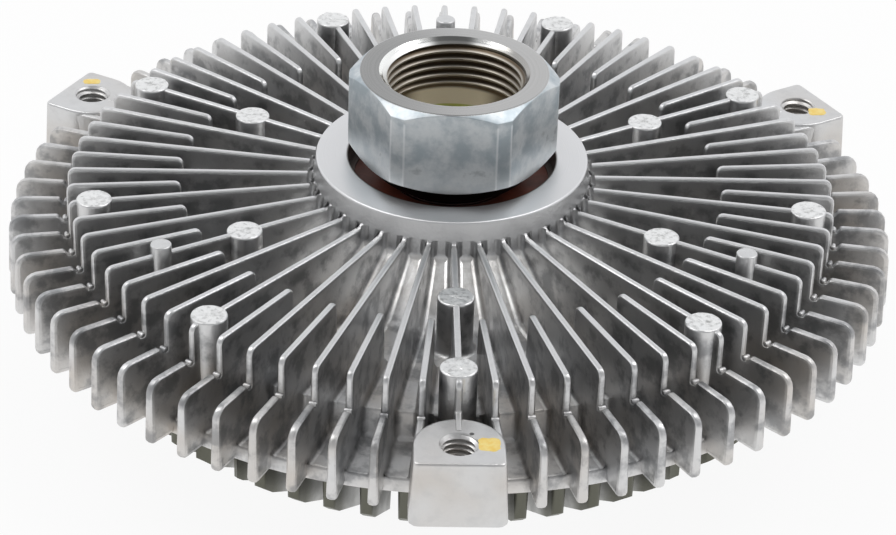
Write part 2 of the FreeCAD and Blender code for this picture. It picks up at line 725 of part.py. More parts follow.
def make_cover_trim():
    """Ring seal, screws and fill plug of the front cover."""
    seal = new_body("cover_seal_ring")
    revolve(seal, "ring", block("chamber_radius", "chamber_radius + ring_seal_width",
                                "rim_bottom - ring_seal_depth", "rim_bottom"))

    screws = new_body("cover_screws")
    head = primitive(screws, "AdditiveCone", "head", "0", "-outer_post_circle", "cover_flange_bottom",
                     Radius1="screw_head_radius", Radius2="screw_radius",
                     Height="screw_head_radius - screw_radius")
    shank = disc(screws, "shank", "0", "-outer_post_circle", "screw_radius",
                 "cover_flange_bottom + screw_head_radius - screw_radius", "screw_end")
    socket = primitive(screws, "SubtractivePrism", "socket", "0", "-outer_post_circle",
                       "cover_flange_bottom", Circumradius="drive_recess_radius", Height="drive_recess_depth")
    repeat(screws, "screw_set", [head, shank, socket], "outer_post_count")

    plug = new_body("fill_plug")
    disc(plug, "plug", "0", "-plug_circle", "plug_radius", "cover_dish_bottom - plug_proud",
         RESERVOIR_FLOOR)
    return [seal, screws, plug]


def make_valve():
    """The shaft through the cover, the arm over the port, the shaft's seal and its clip."""
    shaft = new_body("valve_shaft")
    clip_bottom = "%s - clip_thickness - slot_play" % CLIP_TOP
    revolve(shaft, "pin", [
        ("0", ARM_TOP), ("0", "valve_end"), ("valve_radius", "valve_end"), ("valve_radius", clip_bottom),
        ("clip_seat_radius - slot_play", clip_bottom),
        ("clip_seat_radius - slot_play", "%s + slot_play" % CLIP_TOP),
        ("valve_radius", "%s + slot_play" % CLIP_TOP), ("valve_radius", ARM_BOTTOM),
        ("arm_seat_radius", ARM_BOTTOM), ("arm_seat_radius", ARM_TOP)])
    gap = "(coil_thickness / 2 + slot_play)"
    sketch = new_sketch(shaft, "coil_slot_outline", "XY_Plane", "coil_top + slot_play")
    outline(sketch, block("-valve_radius - cut_margin", "valve_radius + cut_margin", "-" + gap, gap))
    pocket(shaft, "coil_slot", sketch, "coil_top + slot_play - valve_end")

    arm = new_body("valve_arm")
    disc(arm, "hub", "0", "0", "arm_hub_radius", ARM_BOTTOM, ARM_TOP)
    disc(arm, "pad", "port_circle", "0", "arm_pad_radius", ARM_BOTTOM, ARM_TOP)
    sketch = new_sketch(arm, "neck_outline", "XY_Plane", ARM_BOTTOM)
    outline(sketch, block("0", "port_circle", "-arm_neck_width / 2", "arm_neck_width / 2"))
    pad(arm, "neck", sketch, "arm_thickness")
    hole(arm, "seat", "0", "0", "arm_seat_radius", ARM_TOP, ARM_BOTTOM)

    seal = new_body("valve_shaft_seal")
    revolve(seal, "ring", block(VALVE_BORE, "valve_seal_groove", "valve_seal_top - valve_seal_height",
                                "valve_seal_top"))

    clip = new_body("valve_retaining_ring")
    disc(clip, "washer", "0", "0", "clip_radius", "%s - clip_thickness" % CLIP_TOP, CLIP_TOP)
    hole(clip, "seat", "0", "0", "clip_seat_radius", CLIP_TOP, "%s - clip_thickness" % CLIP_TOP)
    sketch = new_sketch(clip, "mouth_outline", "XY_Plane", CLIP_TOP)
    outline(sketch, block("0", "clip_radius + cut_margin", "-clip_mouth / 2", "clip_mouth / 2"))
    pocket(clip, "mouth", sketch, "clip_thickness")
    return [shaft, arm, seal, clip]


def make_coil():
    """A flat spiral strip: half turns about two centres, a tab in the valve shaft, a tail in the post."""
    body = new_body("bimetal_coil")
    side = "coil_thickness / 2"
    half_turns = 2 * count("coil_turns") + 1

    def place(index, offset):
        """Where the strip's side crosses the line of centres after so many half turns."""
        if index % 2:
            return "-(coil_start_radius + %d * coil_pitch / 2 + %s)" % (index - 1, offset)
        return "(coil_start_radius + %d * coil_pitch / 2 + %s)" % (index, offset)

    def centre(index):
        return "coil_pitch / 2" if index % 2 else "0"

    outer = [(place(index, side), side, centre(index), side, "left", "y") for index in range(half_turns)]
    inner = [(place(index + 1, "-" + side), side, centre(index), side, "right", "y")
             for index in reversed(range(half_turns))]
    tail = "-(%s + coil_tail)" % COIL_END
    tab = "-(valve_radius - slot_play)"
    sketch = new_sketch(body, "spiral", "XY_Plane", "coil_top")
    outline(sketch, [(tab, "-" + side), (place(0, side), "-" + side)] + outer + [
        (place(half_turns, side), side), (tail, side), (tail, "-" + side),
        (place(half_turns, "-" + side), "-" + side)] + inner + [
        (place(0, "-" + side), side), (tab, side)])
    pad(body, "strip", sketch, "coil_width", upward=False)
    return body


nodes = [make_housing(), make_drive_hub()] + make_bearing() + [make_rotor()] + make_partition()
nodes += [make_cover()] + make_cover_trim() + make_valve() + [make_coil()]
doc.recompute()

for item in doc.Objects:
    if "Invalid" in item.State or "Error" in item.State:
        raise RuntimeError("%s failed: %s" % (item.Name, item.State))
for node in nodes:
    if node.Shape.isNull() or not node.Shape.isValid():
        raise RuntimeError("%s has no valid shape" % node.Label)

os.makedirs("parts", exist_ok=True)
for node in nodes:
    node.Shape.exportStep(os.path.join("parts", node.Label + ".step"))
    print("%-22s %d solid(s), %.1f mm3" % (node.Label, len(node.Shape.Solids), node.Shape.Volume))
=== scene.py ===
import math
import random

import bmesh
import bpy
from mathutils import Matrix, Vector


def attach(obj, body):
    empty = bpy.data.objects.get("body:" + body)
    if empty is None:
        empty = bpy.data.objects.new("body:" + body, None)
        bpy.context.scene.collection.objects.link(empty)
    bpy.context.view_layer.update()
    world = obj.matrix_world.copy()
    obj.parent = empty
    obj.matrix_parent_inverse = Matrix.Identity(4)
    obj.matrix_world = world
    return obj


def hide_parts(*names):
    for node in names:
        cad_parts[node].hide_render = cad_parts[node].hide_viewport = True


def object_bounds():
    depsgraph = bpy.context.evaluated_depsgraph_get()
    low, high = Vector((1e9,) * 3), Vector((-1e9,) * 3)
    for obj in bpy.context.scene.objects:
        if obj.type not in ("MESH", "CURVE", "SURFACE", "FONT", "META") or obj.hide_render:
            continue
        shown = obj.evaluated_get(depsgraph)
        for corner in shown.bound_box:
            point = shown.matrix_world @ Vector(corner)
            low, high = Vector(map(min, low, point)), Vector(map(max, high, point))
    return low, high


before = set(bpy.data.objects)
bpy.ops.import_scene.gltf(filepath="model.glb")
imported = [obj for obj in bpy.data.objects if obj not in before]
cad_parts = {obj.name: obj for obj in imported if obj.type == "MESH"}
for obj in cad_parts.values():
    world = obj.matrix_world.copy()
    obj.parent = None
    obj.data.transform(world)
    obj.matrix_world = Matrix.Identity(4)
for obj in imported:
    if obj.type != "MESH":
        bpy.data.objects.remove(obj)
cad_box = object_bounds()

# The viscous fan clutch, dressed for its portrait. Sizes are in millimetres unless a name says otherwise,
# in the CAD's own frame: the axis is Z, Z = 0 is the plane of the ears' faces, +Z points to the engine.
# A pair that names a corner of a turned part is its radius and its height.

MM = 0.001
HOUSING, SHAFT = "clutch_housing", "drive_shaft"

# Hub ring and wall of the housing
RING_BORE, RING_RADIUS, RING_TOP, RING_EDGE = 17.6, 23.1, 9.3, 0.35
HUB_FOOT, CONE_FOOT = (24.0, 3.0), (34.8, -4.3)
HUB_HOLLOW, CONE_HOLLOW = 2.0, 3.0
STEP_TOP, STEP_FOOT = (59.4, -4.3), (59.7, -9.3)
STEP_EDGE, STEP_HOLLOW = 0.5, 0.9
RIM_TOP, RIM_FOOT = (70.3, -9.3), (70.7, -11.8)
RIM_EDGE, RIM_FOOT_EDGE = 0.6, 0.3
CHAMBER_RADIUS, CHAMBER_ROOF = 56.0, -7.6
BEARING_TOP, BEARING_BOTTOM, BEARING_RADIUS, SHOULDER_RADIUS = 5.4, -5.6, 17.5, 15.2
LANDS, LAND_FIRST, LAND_PITCH, LAND_WIDTH, LAND_DEPTH, LAND_EDGE = 4, 30.0, 6.0, 2.2, 3.3, 0.2

# Heights inside the wall where hidden ends of cast parts stop, how far they reach in from its surface,
# and how far a visible foot sinks into it
BURIED, RIM_BURIED, HIDDEN_INSET, SINK = -6.0, -10.8, 1.0, 0.02

# Fins of the housing
FINS = 72
FIN_TOP, FIN_REACH, FIN_CORNER = 5.5, 65.4, 1.4
FLARE_REACH, FLARE_RISE, FLARE_ROUND = 0.9, 1.0, 0.8
SHORT_FIN_START, SHORT_FIN_CORNER = 46.0, 1.2
LOW_FIN_TOP, LOW_FIN_REACH, LOW_FIN_FOOT_REACH = -0.35, 75.2, 75.6
LOW_FIN_CORNER, LOW_FIN_FOOT_CORNER = 2.3, 1.0
FIN_TOP_THICKNESS, FIN_ROOT_THICKNESS = 1.1, 1.8
FIN_EDGE_STEPS, FIN_EDGE_SQUARENESS = 6, 0.75
FIN_SPREAD = 0.004  # by what share the fins' heights differ
NO_GAP = 1000  # more copies than any ring has, so that none is left out
FILLET, FILLET_STEPS = 0.9, 4

# The notch at the foot of each fin's upper tier, and the bead of flash in it
NOTCH_DEPTH, NOTCH_REACH, NOTCH_BANK, NOTCH_RISE = 0.95, 1.5, 0.6, 0.15
NOTCH_ROUND, NOTCH_LIP = 0.25, 0.8
BEAD_RADIUS, BEAD_OUT, BEAD_DROP, BEAD_STANDOUT = 0.45, 0.38, 0.72, 0.02

# Posts and pins
OUTER_POSTS, OUTER_POST_CIRCLE, OUTER_POST_TOP = 9, 61.0, 5.66
INNER_POSTS, INNER_POST_CIRCLE, INNER_POST_TOP = 6, 39.9, 5.5
POST_RADIUS, POST_FILLET, POST_EDGE, POST_ROUGHNESS = 3.0, 0.9, 0.3, 0.05
PINS, PIN_CIRCLE, PIN_RADIUS, PIN_TOP, PIN_FILLET, PIN_ROUGHNESS = 3, 55.3, 1.75, 7.2, 0.7, 0.02

# Ears, of which the first from the X axis stands at EAR_ANGLE degrees
EARS, EAR_ANGLE, EAR_CIRCLE, EAR_WIDTH, EAR_REACH, EAR_DEPTH = 3, 30, 73.9, 14.3, 79.4, 11.4
EAR_CORNER, EAR_DRAFT = 1.0, math.radians(2.6)
EAR_THREAD, EAR_THREAD_PITCH, EAR_THREAD_DEPTH, EAR_MOUTH = 3.0, 1.0, 0.52, 3.15
EAR_THREAD_INSET = 0.01
EAR_RIDGE_TOP, EAR_RIDGE_END, EAR_RIDGE_HOLLOW, EAR_RIDGE_EDGE, EAR_RIDGE_SINK = 0.15, 70.3, 0.3, 0.1, 2.0
# Place on the front ear of a dark dot of painted shade that stands for a small pit
DIMPLE = (1.95, -71.05)

# Drive nut
HEX_ACROSS, HEX_TURN, HEX_CORNER = 32.0, math.radians(-3.0), 17.73
HEX_TOP, HEX_BOTTOM, HEX_FACE, HEX_FOOT = 25.4, 10.25, 15.75, 15.5
HEX_SLOPE = math.tan(math.radians(33))
HEX_FACE_ROUND, HEX_TOP_ROUND, HEX_FOOT_ROUND = 0.5, 0.25, 0.12
HALF_FLAT = math.acos(HEX_ACROSS / 2 / HEX_CORNER)
NUT_THREAD, NUT_THREAD_PITCH, NUT_THREAD_DEPTH, NUT_MOUTH = 12.0, 1.5, 0.75, 12.7
NUT_THREAD_END, NUT_RUN_OUT, BORE_BOTTOM = 15.9, 0.7, 12.2
BORE_GAP = 0.05  # between the thread's wall and the block's own

# Shaft under the nut
NECK_RADIUS, NECK_BOTTOM, NECK_EDGE = 13.4, 7.6, 0.3
SHAFT_SHOULDER, SHAFT_RADIUS, ROTOR_SEAT = 9.6, 7.5, 6.5
RIVET_HEAD, RIVET_TOP, RIVET_BOTTOM = 8.2, -12.9, -14.6

# Dabs of paint: the ear's angle in degrees, the dab's place from the hole, and half its length and width
DABS = ((-90, (4.55, 0.0), 1.75, 1.85), (30, (3.3, -2.1), 1.6, 1.4), (150, (-0.5, 4.8), 1.6, 1.0))
DAB_PROFILE = ((1.0, 0.0), (0.93, 0.05), (0.5, 0.07), (0.02, 0.07))  # share of its reach, height

# Camera, fitted to the photograph
FOCAL_LENGTH, DISTANCE, SENSOR_WIDTH = 130.53, 557.85, 36.0
AZIMUTH, ELEVATION, ROLL = math.radians(-2.064), math.radians(31.087), math.radians(1.953)
TARGET = Vector((-0.22, -5.83, -9.68))

# Brightness of the room round the part: at the front and back, and what share of it the ceiling has
ROOM_FRONT_BACK, ROOM_CEILING = (0.5, 1.0), 0.5

# Studio, in metres and watts
FLOOR_REACH, FLOOR_WHITENESS = 6.0, 0.92
SOFTBOX_PLACE, SOFTBOX_SIZE, SOFTBOX_POWER = (0.5, 0.06, 0.85), (0.4, 0.7), 2.4


# Outlines

def arc(centre, radius, start, end, steps):
    """Points on an arc, with angles in degrees."""
    turns = [math.radians(start + (end - start) * k / steps) for k in range(steps + 1)]
    return [(centre[0] + radius * math.cos(t), centre[1] + radius * math.sin(t)) for t in turns]


def circle(centre, radius, count):
    """Points spaced evenly round a circle."""
    return arc(centre, radius, 0, 360 - 360 / count, count - 1)


def rounded(corners, closed=True, steps=3):
    """An outline through (x, y) corners, where a third number rounds that corner to a radius."""
    points = []
    for k, corner in enumerate(corners):
        if len(corner) == 2 or (not closed and k in (0, len(corners) - 1)):
            points.append(Vector(corner[:2]))
            continue
        here = Vector(corner[:2])
        back = (Vector(corners[k - 1][:2]) - here).normalized()
        ahead = (Vector(corners[(k + 1) % len(corners)][:2]) - here).normalized()
        half = back.angle(ahead) / 2
        reach = corner[2] / math.tan(half)
        middle = here + (back + ahead).normalized() * corner[2] / math.sin(half)
        first, last = here + back * reach - middle, here + ahead * reach - middle
        for step in range(steps + 1):
            side = first.slerp(last, step / steps)
            points.append(middle + side * corner[2] / side.length)
    return points


def outward(points, closed):
    """The mitred normal at each point, to the left of the way the outline runs."""
    normals = []
    for k, here in enumerate(points):
        sides = []
        for a, b in ((k - 1, k), (k, k + 1)):
            if closed or (a >= 0 and b < len(points)):
                run = points[b % len(points)] - points[a % len(points)]
                if run.length > 1e-6:
                    sides.append(Vector((-run.y, run.x)).normalized())
        mean = sum(sides, Vector((0, 0)))
        normals.append(mean / mean.dot(sides[0]) if len(sides) > 1 else sides[0])
    return normals


# Meshes

class Form:
    """Points, in millimetres, and faces of one mesh."""

    MERGE = 0.002  # points nearer than this become one
    SMOOTH_CORNERS = 8  # a face with more corners is the flat side of a plate

    def __init__(self):
        self.points, self.faces = [], []

    def face(self, points):
        """One face through some points."""
        start = len(self.points)
        self.points += [tuple(p) for p in points]
        self.faces.append(tuple(range(start, start + len(points))))

    def rows(self, rows, around=False, along=False):
        """Quads between rows of points. around joins a row's ends, along joins the last row to the first."""
        start, width = len(self.points), len(rows[0])
        for row in rows:
            self.points += [tuple(p) for p in row]
        for i in range(len(rows) if along else len(rows) - 1):
            for j in range(width if around else width - 1):
                a, b = i * width, (i + 1) % len(rows) * width
                k = (j + 1) % width
                self.faces.append((start + a + j, start + a + k, start + b + k, start + b + j))

    def lathe(self, outline, segments=144):
        """Turn a closed outline of (radius, height) about Z."""
        turns = [2 * math.pi * k / segments for k in range(segments)]
        self.rows([[(r * math.cos(t), r * math.sin(t), z) for r, z in outline] for t in turns],
                  around=True, along=True)

    def take(self, obj):
        """Add another object's mesh, which is in metres, and remove the object."""
        start = len(self.points)
        self.points += [tuple(v.co / MM) for v in obj.data.vertices]
        self.faces += [tuple(start + v for v in face.vertices) for face in obj.data.polygons]
        bpy.data.objects.remove(obj)

    def take_bmesh(self, bm, unit):
        """Add a bmesh and free it. The unit is what a millimetre is in the bmesh."""
        start = len(self.points)
        bm.verts.index_update()
        self.points += [tuple(v.co / unit) for v in bm.verts]
        self.faces += [tuple(start + v.index for v in face.verts) for face in bm.faces]
        bm.free()

    def build(self, name, turn_out=True, crease=35):
        """The finished object: metres, joined points, faces turned outwards, sharp only at real edges."""
        bm = bmesh.new()
        points = [bm.verts.new(Vector(p) * MM) for p in self.points]
        for face in self.faces:
            corners = list(dict.fromkeys(points[v] for v in face))
            if len(corners) > 2:
                bm.faces.new(corners)
        bmesh.ops.remove_doubles(bm, verts=bm.verts, dist=self.MERGE * MM)
        if turn_out:
            bmesh.ops.recalc_face_normals(bm, faces=bm.faces)
        mesh = bpy.data.meshes.new(name)
        bm.to_mesh(mesh)
        bm.free()
        mesh.shade_smooth()
        mesh.set_sharp_from_angle(angle=math.radians(crease))
        for polygon in mesh.polygons:
            polygon.use_smooth = polygon.loop_total <= self.SMOOTH_CORNERS
        obj = bpy.data.objects.new(name, mesh)
        bpy.context.collection.objects.link(obj)
        return obj


# Nodes

class Wire:
    """A node's output. Arithmetic on it adds Math nodes."""

    def __init__(self, nodes, socket):
        self.nodes, self.socket = nodes, socket

    def maths(self, operation, *others):
        """A Math node on this value and others."""
        return self.nodes.maths(operation, self, *others)

    def __add__(self, other):
        return self.maths("ADD", other)

    def __mul__(self, other):
        return self.maths("MULTIPLY", other)

    __radd__, __rmul__ = __add__, __mul__

    def __sub__(self, other):
        return self.maths("SUBTRACT", other)

    def __rsub__(self, other):
        return self.nodes.maths("SUBTRACT", other, self)

    def __truediv__(self, other):
        return self.maths("DIVIDE", other)

    def __rtruediv__(self, other):
        return self.nodes.maths("DIVIDE", other, self)

    def ramp(self, low, high, start=0.0, end=1.0):
        """A smooth step from start at low to end at high. Given low above high, it falls."""
        return self.nodes.node("ShaderNodeMapRange", {
            "Value": self, "From Min": low, "From Max": high, "To Min": start, "To Max": end},
            interpolation_type="SMOOTHSTEP")


class Nodes:
    """A node tree of any kind, and the method that adds its nodes."""

    def __init__(self, tree):
        self.tree = tree

    def node(self, kind, inputs=(), output=0, **settings):
        """Add a node of a type with its settings, feed its inputs values or wires, and give one output."""
        node = self.tree.nodes.new(kind)
        for setting, value in settings.items():
            setattr(node, setting, value)
        for key, value in dict(inputs).items():
            self.feed(node.inputs[key], value)
        return Wire(self, node.outputs[output])

    def feed(self, socket, value):
        """Link a wire to a socket, or set the socket's own value."""
        if isinstance(value, Wire):
            self.tree.links.new(value.socket, socket)
        elif isinstance(value, tuple) and len(value) == 3 and socket.type == "RGBA":
            socket.default_value = value + (1.0,)
        else:
            socket.default_value = value

    def maths(self, operation, *values):
        """A Math node on values or wires."""
        return self.node("ShaderNodeMath", dict(enumerate(values)), operation=operation)


class Paint(Nodes):
    """One procedural material round a Principled shader, with its places in millimetres."""

    def __init__(self, name):
        self.material = bpy.data.materials.new(name)
        self.material.use_nodes = True
        super().__init__(self.material.node_tree)
        self.shader = self.tree.nodes["Principled BSDF"]
        place = self.node("ShaderNodeTexCoord", output="Object")
        self.place = self.node("ShaderNodeVectorMath", {0: place, "Scale": 1 / MM}, operation="SCALE")
        self.x, self.y, self.z = (self.node("ShaderNodeSeparateXYZ", {0: self.place}, output=axis)
                                  for axis in ("X", "Y", "Z"))
        self.radius = (self.x * self.x + self.y * self.y).maths("SQRT")
        self.angle = self.x.maths("ARCTAN2", self.y * -1.0)

    def set(self, **inputs):
        """Feed inputs of the Principled shader, with _ for a blank in a name."""
        for key, value in inputs.items():
            self.feed(self.shader.inputs[key.replace("_", " ")], value)

    def noise(self, size, detail=3.0, stretch=None, roughness=0.55):
        """Noise about 0.5 with spots of a size in millimetres."""
        place = self.place
        if stretch:
            place = self.node("ShaderNodeVectorMath", {0: place, 1: stretch}, operation="MULTIPLY")
        return self.node("ShaderNodeTexNoise", {
            "Vector": place, "Scale": 1 / size, "Detail": detail, "Roughness": roughness}, output="Fac")

    def rings(self, size, detail=3.0):
        """Uneven turned rings about the axis, about size millimetres apart, from 0 to 1."""
        return self.node("ShaderNodeTexNoise", {"W": self.radius, "Scale": 1 / size, "Detail": detail},
                         output="Fac", noise_dimensions="1D")

    def off(self, ring, count):
        """Millimetres from the nearest of some points spaced round a ring, the first of them on -Y."""
        across = self.angle.maths("PINGPONG", math.pi / count) * ring
        out = self.radius - ring
        return (across * across + out * out).maths("SQRT")

    def mix(self, factor, low, high):
        """A colour between two colours."""
        return self.node("ShaderNodeMix", {0: factor, 6: low, 7: high}, output=2, data_type="RGBA")

    def layers(self, colour, *coats):
        """A colour with coats over it in turn, each a mask and a colour."""
        for mask, coat in coats:
            colour = self.mix(mask, colour, coat)
        return colour

    def bump(self, height, depth, strength=1.0):
        """Relief from a 0 to 1 height, depth millimetres deep."""
        self.set(Normal=self.node("ShaderNodeBump", {
            "Height": height, "Distance": depth * MM, "Strength": strength}, output="Normal"))


# Finishes

def cast_aluminium(name):
    """Die-cast skin: satin, faintly pebbled, smudged, browner and duller down between the fins, with painted
    shade darkening the fins' sides, the hub's bore and a small pit, and painted light on the cone round the
    hub.
    """
    paint = Paint(name)
    grain, spots, flow = paint.noise(0.45, 4.0), paint.noise(2.2), paint.noise(14.0, 2.0)
    broken, smudge = paint.noise(0.9, 4.0), paint.noise(4.5, 4.0, roughness=0.6)
    turned = paint.rings(0.22)

    low = paint.z.ramp(FIN_TOP - 1.0, STEP_TOP[1] - 0.2)
    # Browner and darker lower down between the fins
    browner_lower_down = low * flow.ramp(0.35, 0.75)
    # Smudges, and painted shade on the fins' sides below their tops: a dark colour laid over real smudging
    smudges_and_fin_shade = (paint.z.ramp(FIN_TOP - 0.5, FIN_TOP - 2.0) * paint.off(EAR_CIRCLE, EARS).ramp(8.0, 12.0)
            * smudge.ramp(0.44, 0.64))
    ring = (paint.radius.ramp(RING_RADIUS + 0.15, RING_RADIUS - 0.05)
            * paint.z.ramp(RING_TOP - 0.4, RING_TOP - 0.2))
    skin = 1.0 - ring
    # Painted light: the cone floor round the hub is painted near white, as where the lamps light it
    slope = (HUB_FOOT[1] - CONE_FOOT[1]) / (CONE_FOOT[0] - HUB_FOOT[0])
    above_cone = paint.z - HUB_FOOT[1] + (paint.radius - HUB_FOOT[0]) * slope
    cone = above_cone.ramp(0.5, 0.15) * paint.radius.ramp(CONE_FOOT[0] - 0.3, CONE_FOOT[0] - 4.8) * skin
    outer_posts, inner_posts = (paint.off(*where).ramp(POST_RADIUS, POST_RADIUS - 0.3) for where in (
        (OUTER_POST_CIRCLE, OUTER_POSTS), (INNER_POST_CIRCLE, INNER_POSTS)))
    posts = (outer_posts + inner_posts) * paint.z.ramp(INNER_POST_TOP - 0.3, INNER_POST_TOP - 0.2)
    # Painted shade: a near-black dot stands for the shadow in a small pit on the front ear
    across, out = paint.x - DIMPLE[0], paint.y - DIMPLE[1]
    dimple_painted_shade = (across * across + out * out).ramp(0.2, 0.08)
    # Painted shade: the wall of the hub's bore is painted near black, as shade round the seal and nut
    bore = paint.radius.ramp(RING_BORE + 0.5, RING_BORE + 0.1)

    colour = paint.layers(
        (0.70, 0.70, 0.70),
        (browner_lower_down * 0.7, (0.58, 0.53, 0.475)),
        (spots.ramp(0.45, 0.75) * 0.25, (0.50, 0.50, 0.50)),
        (smudges_and_fin_shade * 0.65, (0.22, 0.225, 0.235)),
        (cone * 0.8, paint.mix(smudge.ramp(0.4, 0.6), (0.93, 0.92, 0.90), (0.80, 0.78, 0.75))),
        (posts, paint.mix(broken.ramp(0.45, 0.75), (0.88, 0.88, 0.87), (0.52, 0.52, 0.51))),
        (dimple_painted_shade * 0.85, (0.05, 0.05, 0.05)),
        (ring, (0.73, 0.73, 0.735)),
        (bore, (0.10, 0.09, 0.08)))
    paint.set(Base_Color=colour, Metallic=1.0,
              Roughness=grain * skin * 0.16 + ring * 0.13 + low * 0.08 + 0.26)
    paint.bump((grain * 0.7 + spots * 0.8 + posts * broken * 0.6) * skin + ring * turned * 0.3, 0.09, 0.6)
    return paint.material


def cover_aluminium(name):
    """The cover's casting, dull and smudged, painted darker than the housing as shade, and painted darker
    still at the ends of its fins as shade.
    """
    paint = Paint(name)
    grain, smudge = paint.noise(0.45, 4.0), paint.noise(4.5, 4.0)
    # Smudged, painted darker than the housing as shade, and darker still at the fins' outer ends as painted
    # shade
    colour = paint.layers(
        paint.mix(smudge.ramp(0.35, 0.65), (0.50, 0.50, 0.49), (0.36, 0.36, 0.35)),
        (paint.radius.ramp(CHAMBER_RADIUS - 4.0, CHAMBER_RADIUS + 1.5), (0.14, 0.14, 0.115)))
    paint.set(Base_Color=colour, Metallic=1.0, Roughness=grain * 0.15 + 0.38)
    paint.bump(grain, 0.06, 0.6)
    return paint.material


def zinc_plate(name):
    """Zinc on the nut: cloudy, bluish facets with painted highlight lines at their corners and a painted
    reflection low down, a light turned top with a painted sheen to the right, a painted highlight in the
    mouth, a brown threaded bore with painted shade in its roots and painted light on its back wall, and
    painted shade making the neck dark.
    """
    paint = Paint(name)
    cloud, grain = paint.noise(4.5, 4.0, roughness=0.62), paint.noise(0.35, 3.0)
    strokes = paint.noise(0.6, 3.0, stretch=(1.0, 1.0, 0.12))
    chatter = paint.noise(1.3, 4.0, stretch=(0.4, 0.4, 1.8))
    rings = paint.rings(0.4)
    right, back = paint.x / paint.radius, paint.y / paint.radius

    top = paint.radius.ramp(HEX_FACE + 0.25, HEX_FACE + 0.05) * paint.z.ramp(HEX_TOP - 0.7, HEX_TOP - 0.5)
    side = 1.0 - top
    turn = (paint.angle - HEX_TURN).maths("PINGPONG", math.radians(30))
    # Painted highlight: thin light lines down the boundaries between the facets and the turned corners
    edge = (turn.ramp(HALF_FLAT - 0.012, HALF_FLAT) * turn.ramp(HALF_FLAT + 0.02, HALF_FLAT + 0.008)
            * paint.z.ramp(HEX_TOP - 1.8, HEX_TOP - 2.2))
    lower_facets = paint.z.ramp(HEX_TOP - 4.4, HEX_BOTTOM + 4.75)
    # Painted reflection: the facets are painted lighter low down, where they reflect the hub ring below
    foot = paint.z.ramp(HEX_BOTTOM + 5.75, HEX_BOTTOM + 0.75)
    mouth = paint.radius.ramp(NUT_MOUTH + 0.05, NUT_MOUTH - 0.05)
    outside = side * (1.0 - mouth)
    inside = mouth * paint.z.ramp(HEX_TOP - 1.1, HEX_TOP - 1.5)
    relief = inside * paint.z.ramp(NUT_THREAD_END + 0.3, NUT_THREAD_END - 0.3)
    bottom = (mouth * paint.z.ramp(BORE_BOTTOM + 0.6, BORE_BOTTOM + 0.4)
              * paint.z.ramp(HEX_BOTTOM + 0.55, HEX_BOTTOM + 0.75))
    # Painted shade: the neck in the gap under the nut is painted near black
    neck = (paint.radius.ramp(HEX_FOOT - 0.5, HEX_FOOT - 0.7)
            * paint.z.ramp(HEX_BOTTOM + 0.15, HEX_BOTTOM - 0.05))

    # Painted sheen: the turned top is painted lighter towards the right, where it catches the light, with
    # faint rings
    top_painted_sheen = right.ramp(-1.0, 0.5) * 0.75 + rings * 0.25
    # Painted highlight: the mouth's cone is painted near white on the right and dark at the back
    mouth_painted_highlight = paint.mix(right.ramp(0.45, 0.75), (0.95, 0.95, 0.93), (0.40, 0.39, 0.37))
    colour = paint.layers(
        paint.mix(cloud.ramp(0.35, 0.65), (0.42, 0.475, 0.51), (0.66, 0.69, 0.705)),
        (cloud.ramp(0.60, 0.72) * lower_facets * 0.6, (0.30, 0.33, 0.35)),
        (foot * 0.5, (0.76, 0.78, 0.78)),
        (edge * 0.5, (0.92, 0.94, 0.95)),
        (top, paint.mix(top_painted_sheen, (0.28, 0.28, 0.275), (0.50, 0.495, 0.485))),
        (mouth, paint.mix(back.ramp(0.93, 0.985), mouth_painted_highlight, (0.30, 0.30, 0.29))),
        # Painted shade: the thread's roots are painted dark and its crests lighter; the brown is the oily
        # bore's own tone
        (inside, paint.mix(paint.radius.ramp(NUT_THREAD - 0.25, NUT_THREAD - 0.65),
                           (0.13, 0.10, 0.07), (0.46, 0.43, 0.38))),
        # Painted light: the plain wall below the thread is painted near white at the back, where it faces the
        # light
        (relief, paint.mix(back.ramp(0.70, 0.92), (0.34, 0.29, 0.21), (0.97, 0.92, 0.80))),
        (bottom * paint.radius.ramp(NUT_THREAD - 0.4, NUT_THREAD - 0.1), (0.72, 0.76, 0.30)),
        (neck, (0.035, 0.033, 0.03)))
    paint.set(Base_Color=colour, Metallic=1.0,
              Roughness=cloud * side * 0.10 + grain * side * 0.06 + side * 0.14 + relief * 0.30 + 0.20)
    paint.bump((grain * 0.3 + strokes * 0.4 + chatter * 0.8) * outside + top * rings * 0.6, 0.035, 0.6)
    return paint.material


def metal(name, colour, roughness, size=0.5, stretch=None):
    """Plain metal with fine grain or brushing."""
    paint = Paint(name)
    grain, cloud = paint.noise(size, 3.0, stretch), paint.noise(6.0, 2.0)
    darker = tuple(c * 0.78 for c in colour)
    paint.set(Base_Color=paint.mix(cloud.ramp(0.3, 0.7), darker, colour), Metallic=1.0,
              Roughness=grain * 0.15 + roughness)
    paint.bump(grain, 0.02, 0.5)
    return paint.material


def moulded(name, colour, roughness):
    """Rubber or plastic with a faint pebble and uneven tone."""
    paint = Paint(name)
    grain, cloud = paint.noise(0.3, 3.0), paint.noise(3.5, 3.0)
    darker = tuple(c * 0.6 for c in colour)
    paint.set(Base_Color=paint.mix(cloud.ramp(0.3, 0.7), darker, colour),
              Roughness=grain * 0.2 + roughness)
    paint.bump(grain, 0.03, 0.5)
    return paint.material


def paint_mark(name):
    """Thin yellow marking paint, patchy at its edges."""
    paint = Paint(name)
    cloud = paint.noise(1.2, 3.0)
    paint.set(Base_Color=paint.mix(cloud.ramp(0.3, 0.7), (0.90, 0.62, 0.13), (0.93, 0.74, 0.27)),
              Roughness=cloud * 0.2 + 0.35)
    paint.bump(cloud, 0.05, 0.5)
    return paint.material


# Copies round the axis

